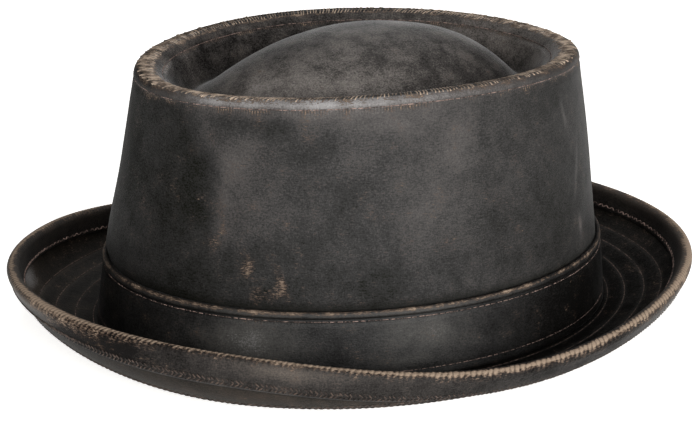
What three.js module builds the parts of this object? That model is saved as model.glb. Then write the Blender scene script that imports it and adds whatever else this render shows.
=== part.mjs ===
// A leather porkpie hat, standing on the foot of its crown and the belly of its brim.
// Millimetres, +Z up. The front faces -Y, and the origin is the middle of the resting plane.
import * as THREE from 'three';

// Opening for the head, at the inside of the crown's foot
const HEAD_LENGTH = 201;
const HEAD_WIDTH = 170;
const BACK_FULLNESS = 0.012; // how much wider the oval is behind its middle, and narrower before it

// Leather
const CROWN_WALL = 2;
const BRIM_WALL = 2;
const BAND_WALL = 1.5;
const BINDING_WALL = 1;
const SEWN_GAP = 0.3; // between pieces that are sewn against each other

// Crown's side, up to the seam on the crest
const CREST_HEIGHT = 102.9; // above the resting plane
const CROWN_TAPER = 16.5; // how far the wall leans in where it leans most
const WALL_BULGE = 0.8; // outward swell of the wall at half its height
const SHOULDER_WIDTH = 4.6; // the rounded strip between the wall and the crest
const SHOULDER_DROP = 4;
const CREST_LEVEL = 0.8; // level leather on each side of the crest's seam

// Crown's top, from the crest down into the well and up over the dome
const RIM_WIDTH = 15;
const WELL_DEPTH = 19;
const DOME_HEIGHT = 26.5; // above the bottom of the well
const DOME_SETBACK = 9; // of the dome's peak behind the middle of the crown
const DOME_FULLNESS = 2.5; // 2 for a plain round dome, more for one with a flatter top

// Band round the foot of the crown
const BAND_HEIGHT = 26;
const FOLD_HEIGHT = 2.6; // of the turned top edge
const FOLD_SWELL = 0.6; // how much thicker that edge is

// Brim
const BRIM_REACH = 34.5; // from the crown's outer foot out to the edge where it is widest
const EDGE_HEIGHT = 26.3; // of the edge where it stands highest
const SEAT_MARGIN = 0.6; // flat leather past the band's foot
const ROLL_START = 0.83; // where the roll turns up, as a share of the way out
const ROLL_FULLNESS = 0.39; // up to where the roll stays full, as a share of its rise

// Binding that wraps the brim's edge
const BINDING_WIDTH = 8.5; // how far it comes down each face of the roll

// The hat from its front round to its back, a row each eighth of a turn, both halves alike.
// crest is a share of CREST_HEIGHT, and taper of CROWN_TAPER.
// reach, and lean by which the roll's edge overhangs its wall, are shares of BRIM_REACH.
// edge, and belly where the roll starts, are shares of EDGE_HEIGHT.
const STATIONS = [
  { crest: 0.973, taper: 1, reach: 0.977, lean: 0.2, edge: 1, belly: 0.26 },
  { crest: 0.986, taper: 0.913, reach: 0.913, lean: -0.12, edge: 0.847, belly: 0.01 },
  { crest: 1, taper: 0.758, reach: 0.916, lean: 0.165, edge: 0.47, belly: 0.02 },
  { crest: 0.99, taper: 0.695, reach: 0.962, lean: 0.125, edge: 0.731, belly: 0.25 },
  { crest: 0.977, taper: 0.696, reach: 1, lean: -0.06, edge: 0.745, belly: 0.24 },
];

// Rim's inner face from the crest in: inward is a share of RIM_WIDTH, down of WELL_DEPTH
const RIM_FACE = [
  { inward: 0.22, down: 0.05 },
  { inward: 0.5, down: 0.26 },
  { inward: 0.72, down: 0.62 },
  { inward: 0.88, down: 0.9 },
  { inward: 1, down: 1 },
];

// Steps of the meshes
const AROUND = 56;
const WALL_STEPS = 3;
const SHOULDER_STEPS = 3;
const DOME_STEPS = 8;
const BELLY_STEPS = 7;
const BINDING_STEPS = 3;
const TURN_STEPS = 4;

// Heights above the resting plane, and places out from the crown's inner foot
const BRIM_MIDDLE = BRIM_WALL / 2;
const BRIM_TOP = BRIM_WALL + SEWN_GAP;
const BAND_INNER = CROWN_WALL + SEWN_GAP;
const BAND_OUTER = BAND_INNER + BAND_WALL;
const SEAT_EDGE = BAND_OUTER + SEAT_MARGIN;

// One column of the stations round the whole hat, as a closed curve of values
function roundCurve(column) {
  const half = STATIONS.map((station) => new THREE.Vector3(station[column], 0, 0));
  const otherHalf = half.slice(1, -1).reverse();
  return new THREE.CatmullRomCurve3([...half, ...otherHalf], true, 'catmullrom');
}

const ROUND = Object.fromEntries(
  Object.keys(STATIONS[0]).map((column) => [column, roundCurve(column)]),
);

// Value of a column at an angle, counted from +X towards the back
function roundValue(column, angle) {
  const turn = angle / (2 * Math.PI) + 0.25;
  return ROUND[column].getPoint(turn - Math.floor(turn)).x;
}

// Point of the hat, a distance out from the crown's inner foot and up
function place(angle, { x: out, y: up }) {
  const fullness = 1 + BACK_FULLNESS * Math.sin(angle);
  return new THREE.Vector3(
    (HEAD_WIDTH / 2 + out) * fullness * Math.cos(angle),
    (HEAD_LENGTH / 2 + out) * Math.sin(angle),
    up,
  );
}

// The two faces of a sheet of leather whose middle runs through the points
function sheetFaces(middle, wall) {
  const sides = middle.map((point, index) => {
    const before = middle[Math.max(index - 1, 0)];
    const after = middle[Math.min(index + 1, middle.length - 1)];
    const along = after.clone().sub(before).normalize();
    return new THREE.Vector2(along.y, -along.x).multiplyScalar(wall / 2);
  });
  return {
    right: middle.map((point, index) => point.clone().add(sides[index])),
    left: middle.map((point, index) => point.clone().sub(sides[index])),
  };
}

// Closed outline of the sheet: along its right face, and back along its left
function sheetOutline(middle, wall) {
  const { right, left } = sheetFaces(middle, wall);
  return [...right, ...left.reverse()];
}

// Skin through one outline at each step round the hat.
// A closed outline makes a ring, and one from the middle to the middle makes a cap.
function skin(outlineAt, closed) {
  const outlines = Array.from({ length: AROUND }, (_, slice) =>
    outlineAt((slice / AROUND) * 2 * Math.PI),
  );
  const count = outlines[0].length;
  const rows = closed ? count + 1 : count;
  const profile = Array.from({ length: rows }, (_, row) => new THREE.Vector2(1, row));
  const geometry = new THREE.LatheGeometry(profile, AROUND);
  const position = geometry.attributes.position;
  for (let index = 0; index < position.count; index += 1) {
    const slice = Math.floor(index / rows) % AROUND;
    const point = outlines[slice][(index % rows) % count];
    position.setXYZ(index, point.x, point.y, point.z);
  }
  geometry.computeVertexNormals();
  return geometry;
}

function crestAt(angle) {
  return CREST_HEIGHT * roundValue('crest', angle);
}

// How far the crown's outer face has leaned in at a height
function leanAt(angle, height) {
  const share = (height - BRIM_TOP) / (CREST_HEIGHT - SHOULDER_DROP - BRIM_TOP);
  const bulge = 4 * WALL_BULGE * share * (1 - share);
  return CROWN_TAPER * roundValue('taper', angle) * share - bulge;
}

// The crest's place, out from the crown's inner foot
function crestOut(angle) {
  return CROWN_WALL - leanAt(angle, crestAt(angle) - SHOULDER_DROP) - SHOULDER_WIDTH;
}

// Crown's upright side: the wall, then the shoulder that turns in to the crest
function crownSide(angle) {
  const shoulder = crestAt(angle) - SHOULDER_DROP;
  const wall = Array.from({ length: WALL_STEPS + 1 }, (_, step) => {
    const height = THREE.MathUtils.lerp(BRIM_TOP, shoulder, step / WALL_STEPS);
    return new THREE.Vector2(CROWN_WALL / 2 - leanAt(angle, height), height);
  });
  const start = wall.pop();
  const seam = new THREE.Vector2(crestOut(angle) + SEWN_GAP / 2, crestAt(angle) - CROWN_WALL / 2);
  const top = new THREE.Vector2(seam.x + CREST_LEVEL, seam.y);
  const corner = new THREE.Vector2(start.x, top.y);
  const turn = new THREE.QuadraticBezierCurve(start, corner, top).getPoints(SHOULDER_STEPS);
  return sheetOutline([...wall, ...turn, seam], CROWN_WALL).map((point) => place(angle, point));
}

// Crown's top: the rim's inner face down into the well, then the dome.
// Its middle runs outward from the dome's peak, with the distance from there as x.
function crownTip(angle) {
  const crest = crestAt(angle) - CROWN_WALL / 2;
  const bottom = CREST_HEIGHT - WELL_DEPTH - CROWN_WALL / 2;
  const wellOut = crestOut(angle) - RIM_WIDTH;
  const well = place(angle, new THREE.Vector2(wellOut, bottom));
  const radius = Math.hypot(well.x, well.y);
  const dome = Array.from({ length: DOME_STEPS }, (_, step) => {
    const share = step / DOME_STEPS;
    return new THREE.Vector2(radius * share, bottom + DOME_HEIGHT * (1 - share ** DOME_FULLNESS));
  });
  const rim = RIM_FACE.map(({ inward, down }) => {
    const height = THREE.MathUtils.lerp(crest, bottom, down);
    return new THREE.Vector2(radius + RIM_WIDTH * (1 - inward), height);
  });
  rim.unshift(
    new THREE.Vector2(radius + RIM_WIDTH - SEWN_GAP / 2, crest),
    new THREE.Vector2(radius + RIM_WIDTH - CREST_LEVEL, crest),
  );
  const beyondPeak = new THREE.Vector2(-dome[1].x, dome[1].y);
  const { right, left } = sheetFaces([beyondPeak, ...dome, ...rim.reverse()], CROWN_WALL);
  const placed = (point, index) => {
    if (point.x > radius) {
      return place(angle, new THREE.Vector2(wellOut + point.x - radius, point.y));
    }
    const share = index === 0 ? 0 : point.x / radius;
    const spot = new THREE.Vector3(well.x * share, well.y * share, point.y);
    spot.y += DOME_SETBACK * (1 - share * share);
    return spot;
  };
  const under = right.slice(1).map(placed);
  const over = left.slice(1).map(placed);
  return [...under, ...over.reverse()];
}

// Band: its inner face follows the crown, and its turned top edge is thicker
function hatBand(angle) {
  const heights = [0, BAND_HEIGHT / 2, BAND_HEIGHT - FOLD_HEIGHT];
  const swells = [0, 0, 0];
  heights.push(BAND_HEIGHT - FOLD_HEIGHT * 0.8, BAND_HEIGHT - FOLD_HEIGHT * 0.2, BAND_HEIGHT);
  swells.push(FOLD_SWELL, FOLD_SWELL, 0);
  const face = (out, swell) =>
    heights.map((height, row) => {
      const up = BRIM_TOP + height;
      return new THREE.Vector2(out - leanAt(angle, up) + swell * swells[row], up);
    });
  const outline = [...face(BAND_OUTER, 1), ...face(BAND_INNER, 0).reverse()];
  return outline.map((point) => place(angle, point));
}

// Middle of the brim past its flat seat: out over the belly and up the roll
function rollCurve(angle) {
  const reach = CROWN_WALL + BRIM_REACH * roundValue('reach', angle);
  const edge = EDGE_HEIGHT * roundValue('edge', angle);
  const belly = EDGE_HEIGHT * roundValue('belly', angle);
  const wall = reach - BRIM_REACH * roundValue('lean', angle);
  return new THREE.CubicBezierCurve(
    new THREE.Vector2(SEAT_EDGE, BRIM_MIDDLE),
    new THREE.Vector2(THREE.MathUtils.lerp(SEAT_EDGE, reach, ROLL_START), belly),
    new THREE.Vector2(wall, THREE.MathUtils.lerp(belly, edge, ROLL_FULLNESS)),
    new THREE.Vector2(reach, edge),
  );
}

// Places on the roll's middle from the seat to the edge, each with the way to its outer face.
// The last few lie under the binding, which follows them.
function rollPlaces(angle) {
  const roll = rollCurve(angle);
  const bound = 1 - BINDING_WIDTH / roll.getLength();
  const shares = [];
  for (let step = 0; step < BELLY_STEPS; step += 1) {
    shares.push((bound * step) / BELLY_STEPS);
  }
  for (let step = 0; step <= BINDING_STEPS; step += 1) {
    shares.push(THREE.MathUtils.lerp(bound, 1, step / BINDING_STEPS));
  }
  return shares.map((share) => {
    const along = roll.getTangentAt(share);
    return { middle: roll.getPointAt(share), outward: new THREE.Vector2(along.y, -along.x) };
  });
}

function beside({ middle, outward }, distance) {
  return middle.clone().addScaledVector(outward, distance);
}

// Brim: flat under the crown's foot, then the roll, and pressed flat where it rests
function brim(angle) {
  const down = new THREE.Vector2(0, -1);
  const seat = [0, BAND_OUTER].map((out) => ({
    middle: new THREE.Vector2(out, BRIM_MIDDLE),
    outward: down,
  }));
  const places = [...seat, ...rollPlaces(angle)];
  const under = places.map((spot) => beside(spot, BRIM_WALL / 2));
  const over = places.map((spot) => beside(spot, -BRIM_WALL / 2));
  under.forEach((point) => point.setY(Math.max(point.y, 0)));
  return [...under, ...over.reverse()].map((point) => place(angle, point));
}

// Line beside the brim at a distance: up the roll's inner face, over the edge and down outside
function roundTheEdge(places, distance) {
  const edge = places.at(-1);
  const inner = places.map((spot) => beside(spot, -distance));
  const outer = places.map((spot) => beside(spot, distance));
  const turn = Array.from({ length: TURN_STEPS - 1 }, (_, step) =>
    inner.at(-1).clone().rotateAround(edge.middle, (-Math.PI * (step + 1)) / TURN_STEPS),
  );
  return [...inner, ...turn, ...outer.reverse()];
}

function brimBinding(angle) {
  const places = rollPlaces(angle).slice(-BINDING_STEPS - 1);
  const inner = BRIM_WALL / 2 + SEWN_GAP;
  const face = roundTheEdge(places, inner + BINDING_WALL);
  const back = roundTheEdge(places, inner);
  return [...back, ...face.reverse()].map((point) => place(angle, point));
}

function piece(name, geometry, color, roughness) {
  const material = new THREE.MeshStandardMaterial({ color, roughness, metalness: 0 });
  const mesh = new THREE.Mesh(geometry, material);
  mesh.name = name;
  return mesh;
}

const hat = new THREE.Group();
hat.add(
  piece('crown_side', skin(crownSide, true), 0x3a3633, 0.6),
  piece('crown_tip', skin(crownTip, false), 0x35312e, 0.6),
  piece('hat_band', skin(hatBand, true), 0x2b2927, 0.55),
  piece('brim', skin(brim, true), 0x2e2a28, 0.65),
  piece('brim_binding', skin(brimBinding, true), 0x5c4a3c, 0.6),
);

// The origin is the middle of the whole hat, front to back
const box = new THREE.Box3().setFromObject(hat);
hat.position.y = -(box.min.y + box.max.y) / 2;

export default hat;
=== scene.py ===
"""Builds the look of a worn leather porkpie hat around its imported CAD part.

The hat's sizes are in millimetres, as a hatter gives them, and turn to metres where a mesh is made.
Sheets of leather are rows of points that run round the hat, and every stitch is its own short loop
of thread.
"""

import logging
import math
from dataclasses import dataclass
from enum import Enum
from typing import Any

import bpy
import numpy as np
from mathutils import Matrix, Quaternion, Vector, noise


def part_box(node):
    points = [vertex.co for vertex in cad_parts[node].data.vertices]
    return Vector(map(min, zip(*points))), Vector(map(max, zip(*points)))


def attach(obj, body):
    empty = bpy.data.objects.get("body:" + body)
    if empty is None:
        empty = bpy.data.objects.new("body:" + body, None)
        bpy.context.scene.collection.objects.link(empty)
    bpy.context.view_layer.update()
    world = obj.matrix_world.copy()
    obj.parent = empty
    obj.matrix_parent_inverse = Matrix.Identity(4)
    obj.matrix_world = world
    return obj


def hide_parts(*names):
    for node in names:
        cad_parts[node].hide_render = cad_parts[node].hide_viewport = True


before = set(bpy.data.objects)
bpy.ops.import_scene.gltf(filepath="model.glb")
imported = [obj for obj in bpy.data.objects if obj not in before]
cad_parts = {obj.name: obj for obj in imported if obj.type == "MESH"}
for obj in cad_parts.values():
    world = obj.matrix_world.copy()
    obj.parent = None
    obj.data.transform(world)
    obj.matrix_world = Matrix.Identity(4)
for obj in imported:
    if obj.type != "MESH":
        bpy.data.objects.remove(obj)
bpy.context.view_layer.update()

log = logging.getLogger("porkpie_hat")

MM = 0.001
ROOT = "root"
MARKINGS = ("worn", "grime", "pucker", "tone")


# Shape of the hat


@dataclass(frozen=True)
class Station:
    """One direction from the middle of the hat. Each size is a share of one of the hat's own."""

    crest: float
    taper: float
    reach: float
    lean: float
    edge: float
    belly: float


@dataclass(frozen=True)
class HatForm:
    """The hat's named sizes in millimetres, and the curves that its leather follows."""

    head_length: float = 201
    head_width: float = 170
    back_fullness: float = 0.012
    crown_wall: float = 2
    brim_wall: float = 2
    band_wall: float = 1.5
    binding_wall: float = 1
    sewn_gap: float = 0.3
    crest_height: float = 102.9
    crown_taper: float = 16.5
    wall_bulge: float = 0.8
    shoulder_width: float = 4.6
    shoulder_drop: float = 4
    crest_level: float = 0.8
    rim_width: float = 15
    well_depth: float = 19
    dome_height: float = 26.5
    dome_setback: float = 9
    dome_fullness: float = 2.5
    band_height: float = 26
    fold_height: float = 2.3
    fold_swell: float = 0.6
    brim_reach: float = 34.5
    edge_height: float = 26.3
    seat_margin: float = 0.6
    roll_start: float = 0.83
    roll_fullness: float = 0.39
    binding_width: float = 8.5
    middle_shift: float = 0
    flush_angle: float = 45
    flush_reach: float = 42
    stations: tuple[Station, ...] = (
        Station(crest=0.973, taper=1, reach=0.977, lean=0.2, edge=1, belly=0.26),
        Station(crest=0.986, taper=0.913, reach=0.913, lean=-0.12, edge=0.847, belly=0.01),
        Station(crest=1, taper=0.758, reach=0.916, lean=0.165, edge=0.47, belly=0.02),
        Station(crest=0.99, taper=0.695, reach=0.962, lean=0.125, edge=0.731, belly=0.25),
        Station(crest=0.977, taper=0.696, reach=1, lean=-0.06, edge=0.745, belly=0.24),
    )
    rim_inward: tuple[float, ...] = (0, 0.05, 0.22, 0.5, 0.72, 0.88, 1)
    rim_down: tuple[float, ...] = (0, 0, 0.05, 0.26, 0.62, 0.9, 1)

    @property
    def brim_top(self) -> float:
        """Height at which the crown stands on the brim."""
        return self.brim_wall + self.sewn_gap

    @property
    def band_inner(self) -> float:
        """How far the band's inner face stands out from the head line."""
        return self.crown_wall + self.sewn_gap

    @property
    def band_outer(self) -> float:
        """How far the band's outer face stands out from the head line."""
        return self.band_inner + self.band_wall

    @property
    def seat_edge(self) -> float:
        """Where the brim's roll begins, outward from the head line."""
        return self.band_outer + self.seat_margin

    def round_value(self, column: str, angle: np.ndarray) -> np.ndarray:
        """A station's size at any direction, on a smooth closed curve through the stations.

        Args:
            column: The name of the size in Station.
            angle: Directions in radians, where -90 degrees is the front.

        Returns:
            The size at each direction.
        """
        half = [getattr(station, column) for station in self.stations]
        ring = np.array(half + half[-2:0:-1])
        turn = (angle / (2 * np.pi) + 0.25) % 1 * len(ring)
        first = np.floor(turn).astype(int)
        w = turn - first
        p0, p1, p2, p3 = (ring[(first + step) % len(ring)] for step in (-1, 0, 1, 2))
        return p1 + 0.5 * w * (
            p2 - p0 + w * (2 * p0 - 5 * p1 + 4 * p2 - p3 + w * (3 * (p1 - p2) + p3 - p0))
        )

    def place(self, angle: np.ndarray, profile: np.ndarray) -> np.ndarray:
        """Points of the hat from their place on a slice.

        Args:
            angle: Direction of each column.
            profile: Rows by columns by (outward from the head line, height).

        Returns:
            Rows by columns by (x, y, z) in millimetres.
        """
        out, up = profile[..., 0], profile[..., 1]
        fullness = 1 + self.back_fullness * np.sin(angle)
        x = (self.head_width / 2 + out) * fullness * np.cos(angle)
        y = (self.head_length / 2 + out) * np.sin(angle) + self.middle_shift
        return np.stack([x, y, up], axis=-1)

    def flush_at(self, angle: np.ndarray) -> np.ndarray:
        """How far the band lies flush with the wall above it in each direction, from 0 to 1."""
        return dip(degrees_from(angle, self.flush_angle), self.flush_reach)

    def crest_at(self, angle: np.ndarray) -> np.ndarray:
        """Height of the crest in each direction."""
        return self.crest_height * self.round_value("crest", angle)

    def lean_at(self, angle: np.ndarray, height: np.ndarray) -> np.ndarray:
        """How far the crown's wall leans in at a height."""
        share = (height - self.brim_top) / (self.crest_height - self.shoulder_drop - self.brim_top)
        bulge = 4 * self.wall_bulge * share * (1 - share)
        return self.crown_taper * self.round_value("taper", angle) * share - bulge

    def crest_out(self, angle: np.ndarray) -> np.ndarray:
        """How far the crest seam stands out from the head line."""
        lean = self.lean_at(angle, self.crest_at(angle) - self.shoulder_drop)
        return self.crown_wall - lean - self.shoulder_width


def point(out: Any, up: Any) -> np.ndarray:
    """Places on a slice, as rows or columns of (outward, height)."""
    return np.stack(np.broadcast_arrays(out, up), axis=-1).astype(float)


def lengths_along(rows: np.ndarray) -> np.ndarray:
    """Distance from the first row to each row, along the surface."""
    steps = np.linalg.norm(np.diff(rows, axis=0), axis=-1)
    return np.concatenate([np.zeros_like(steps[:1]), np.cumsum(steps, axis=0)])


def outward_of(middle: np.ndarray) -> np.ndarray:
    """The direction on the right hand of a curve of rows, for each row and column of a slice."""
    along = np.gradient(middle, axis=0)
    along /= np.linalg.norm(along, axis=-1, keepdims=True)
    return np.stack([along[..., 1], -along[..., 0]], axis=-1)


def dip(distance: np.ndarray, width: float) -> np.ndarray:
    """A soft bump of height one around zero."""
    return np.exp(-((distance / width) ** 2))


def ramp(value: np.ndarray, low: float, high: float) -> np.ndarray:
    """Goes smoothly from 0 at low to 1 at high."""
    share = np.clip((value - low) / (high - low), 0, 1)
    return share * share * (3 - 2 * share)


@dataclass(frozen=True)
class Mark:
    """A soft-edged place on the leather that is lighter, darker or more rubbed than the rest.

    Attributes:
        angle: Its direction in degrees, where -90 is the front and 0 is the hat's left side.
        place: Its height, or its distance along the face, in millimetres.
        wide: How far it reaches to each side, in degrees.
        tall: How far it reaches up and down, in millimetres.
        strength: How much it adds.
        slant: How far it leans, in degrees for each millimetre up.
    """

    angle: float
    place: float
    wide: float
    tall: float
    strength: float
    slant: float = 0.0


def marked(marks: tuple[Mark, ...], angle: np.ndarray, place: np.ndarray) -> np.ndarray:
    """The sum of the marks at each point of a face, from its directions and its places."""
    total = np.zeros(np.broadcast_shapes(angle.shape, place.shape))
    for mark in marks:
        turn = degrees_from(angle, mark.angle + mark.slant * (place - mark.place))
        total += mark.strength * dip(turn, mark.wide) * dip(place - mark.place, mark.tall)
    return total


@dataclass(frozen=True)
class Line:
    """A soft-edged line round the hat, along a seam, a row of stitches or a fold.

    Attributes:
        at: Its distance in millimetres from the seam, row or fold that it belongs to.
        wide: How far it reaches to each side, in millimetres.
        strength: How much it adds. A line of the surface adds millimetres.
    """

    at: float
    wide: float
    strength: float

    def over(self, distance: np.ndarray) -> np.ndarray:
        """What the line adds at each distance."""
        return self.strength * dip(distance - self.at, self.wide)


def degrees_from(angle: np.ndarray, centre: Any) -> np.ndarray:
    """How far round from centre each direction is, from -180 to 180 degrees."""
    return (np.degrees(angle) - centre + 180) % 360 - 180


def drift(points: np.ndarray, grain: float, seed: float) -> np.ndarray:
    """Smooth noise between -1 and 1 at points, with grain as the size of its patches in millimetres."""
    flat = points.reshape(-1, 3) / grain + seed
    values = [noise.noise(Vector(spot)) for spot in flat]
    return np.array(values).reshape(points.shape[:-1])


# Meshes


@dataclass
class Skin:
    """A closed leather piece as rows of points round the hat.

    Attributes:
        rows: Rows by columns by (x, y, z) in millimetres. The last row joins the first one.
        worn: How far each point is rubbed to bare hide, from 0 to 1.
        grime: How dark each point is painted, as the shade of a fold, groove or joint, from 0 to 1.
        pucker: How much the gathers of a seam show at each point, from 0 to 1.
        tone: How light the dye is at each point, with painted light and shade in it, from 0 to 1, where 0.5
            is the leather's own.
        poles: True where the first and last rows end in a middle point each.
    """

    rows: np.ndarray
    worn: np.ndarray
    grime: np.ndarray
    pucker: np.ndarray
    tone: np.ndarray
    poles: bool = False

    @classmethod
    def of_sheet(cls, shown: np.ndarray, hidden: np.ndarray, poles: bool = False, **marks: Any) -> "Skin":
        """A sheet whose hidden face has no markings.

        Args:
            shown: Rows of the face that shows.
            hidden: Rows of the other face.
            poles: True where the sheet closes in the middle. It then begins with its hidden face.
            marks: The markings of the face that shows.

        Returns:
            The skin of both faces.
        """
        order = -1 if poles else 1
        blank = np.zeros(hidden.shape[:2])
        both = {key: np.concatenate([values, blank][::order]) for key, values in marks.items()}
        return cls(rows=np.concatenate([shown, hidden][::order]), poles=poles, **both)

    def faces(self) -> np.ndarray:
        """Corner indices of the quads between neighbouring rows and columns."""
        count, around = self.rows.shape[:2]
        row = np.arange(count - 1 if self.poles else count)[:, None]
        column = np.arange(around)[None, :]
        here, above = row * around, (row + 1) % count * around
        beside = (column + 1) % around
        corners = [here + column, here + beside, above + beside, above + column]
        return np.stack(np.broadcast_arrays(*corners), axis=-1).reshape(-1, 4)

    def make(self, name: str) -> bpy.types.Object:
        """Makes the mesh object, with its UV map and its attributes of wear and of painted light and shade.

        Args:
            name: The piece's name.

        Returns:
            The object, linked to the scene.
        """
        count, around = self.rows.shape[:2]
        points = self.rows.reshape(-1, 3) * MM
        faces = self.faces().tolist()
        if self.poles:
            first, last = list(range(around)), [(count - 1) * around + j for j in range(around)]
            faces.append(first[::-1])
            faces.append(last)
        mesh = bpy.data.meshes.new(name)
        mesh.from_pydata(points.tolist(), [], faces)
        loops = np.zeros(len(mesh.loops), dtype=np.int32)
        mesh.loops.foreach_get("vertex_index", loops)
        across = lengths_along(self.rows).reshape(-1)
        column = (loops % around).astype(float)
        quads = len(self.faces()) * 4
        corner = np.arange(len(loops)) % 4
        wraps = (column == 0) & ((corner == 1) | (corner == 2)) & (np.arange(len(loops)) < quads)
        column[wraps] = around

        # The map runs from 0 to 1 round the hat, so the last column's quads end at 1 and not at 0.
        layer = mesh.uv_layers.new(name="hide")
        layer.uv.foreach_set("vector", np.stack([column / around, across[loops] * MM], 1).ravel())
        for key in MARKINGS:
            values = np.clip(getattr(self, key), -1, 2).astype(np.float32).ravel()
            mesh.attributes.new(key, "FLOAT", "POINT").data.foreach_set("value", values)
        return finished(name, mesh)


def finished(name: str, mesh: bpy.types.Mesh) -> bpy.types.Object:
    """Turns a mesh's faces outward and smooth, and links it to the scene."""
    mesh.validate()
    if volume_of(mesh) < 0:
        mesh.flip_normals()
    mesh.shade_smooth()
    piece = bpy.data.objects.new(name, mesh)
    bpy.context.scene.collection.objects.link(piece)
    return piece


def volume_of(mesh: bpy.types.Mesh) -> float:
    """Signed volume inside a mesh, which is negative where its faces look inward."""
    mesh.calc_loop_triangles()
    corners = np.zeros(len(mesh.loop_triangles) * 3, dtype=np.int32)
    mesh.loop_triangles.foreach_get("vertices", corners)
    points = np.zeros(len(mesh.vertices) * 3)
    mesh.vertices.foreach_get("co", points)
    a, b, c = points.reshape(-1, 3)[corners.reshape(-1, 3)].transpose(1, 0, 2)
    return float(np.einsum("ij,ij->i", a, np.cross(b, c)).sum() / 6)


@dataclass
class Face:
    """One visible face of a sheet.

    Attributes:
        rows: Rows by columns by (x, y, z) in millimetres.
        outside: 1, or -1 where the rows' own normals look into the sheet.
    """

    rows: np.ndarray
    outside: float = 1

    def line(self, distance: Any) -> tuple[np.ndarray, np.ndarray]:
        """A closed line on the face at a distance from its first row.

        Args:
            distance: Millimetres along the surface, one number or one for each column.

        Returns:
            The line's points and the face's normals there, a row for each column.
        """
        reach = lengths_along(self.rows)
        wanted = np.broadcast_to(np.asarray(distance, dtype=float), reach.shape[1:])
        row = np.clip((reach < wanted).sum(axis=0), 1, len(reach) - 1)
        column = np.arange(reach.shape[1])
        low, high = reach[row - 1, column], reach[row, column]
        share = ((wanted - low) / np.maximum(high - low, 1e-9))[:, None]
        points = self.rows[row - 1, column] * (1 - share) + self.rows[row, column] * share
        across = self.rows[row, column] - self.rows[row - 1, column]
        around = np.roll(points, -1, axis=0) - np.roll(points, 1, axis=0)
        normal = np.cross(around, across) * self.outside
        return points, normal / np.linalg.norm(normal, axis=1, keepdims=True)


class Sew(Enum):
    """How the thread of a row lies on the leather."""

    STRAIGHT = "straight"
    SLANTED = "slanted"
    CROSSED = "crossed"


@dataclass(frozen=True)
class Thread:
    """Short loops of thread, in millimetres.

    Attributes:
        pitch: Distance from one stitch to the next.
        thread: Thickness of the thread.
        lift: How far the middle of a stitch stands off the leather.
        uneven: How far the stitches differ from each other, as a share of their sizes.
        sides: Corners of the thread's round section.
        steps: Sections along each stitch.
    """

    pitch: float = 2.6
    thread: float = 0.5
    lift: float = 0.1
    uneven: float = 0.12
    sides: int = 6
    steps: int = 5

    def tubes(self, spot: np.ndarray, up: np.ndarray) -> np.ndarray:
        """Round tubes about the middle lines of the stitches, thinner at their ends.

        Args:
            spot: Stitches by steps by (x, y, z).
            up: The leather's normals there.

        Returns:
            Stitches by steps by sides by (x, y, z).
        """
        along = np.gradient(spot, axis=1)
        side = np.cross(up, along)
        side /= np.linalg.norm(side, axis=-1, keepdims=True)
        turn = np.linspace(0, 2 * np.pi, self.sides, endpoint=False)
        thick = self.thread / 2 * (1 - 1.6 * np.abs(np.linspace(-0.5, 0.5, self.steps)) ** 3)
        ring = side[:, :, None] * np.cos(turn)[:, None] + up[:, :, None] * np.sin(turn)[:, None]
        return spot[:, :, None] + ring * thick[:, None, None]

    def sewn(self, name: str, tubes: np.ndarray) -> bpy.types.Object:
        """Makes one piece of thread from its tubes, with closed ends."""
        count = len(tubes)
        cell = self.steps * self.sides
        step = np.arange(self.steps - 1)[:, None] * self.sides
        side = np.arange(self.sides)[None, :]
        beside = (side + 1) % self.sides
        quad = [step + side, step + beside, step + self.sides + beside, step + self.sides + side]
        quads = np.stack(np.broadcast_arrays(*quad), axis=-1).reshape(-1, 4)
        starts = np.arange(count)[:, None, None] * cell
        faces = (starts + quads).reshape(-1, 4).tolist()
        cap = np.arange(self.sides)
        faces += (starts[:, 0] + cap[::-1]).tolist()
        faces += (starts[:, 0] + cap + cell - self.sides).tolist()
        mesh = bpy.data.meshes.new(name)
        mesh.from_pydata((tubes.reshape(-1, 3) * MM).tolist(), [], faces)
        return finished(name, mesh)


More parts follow.
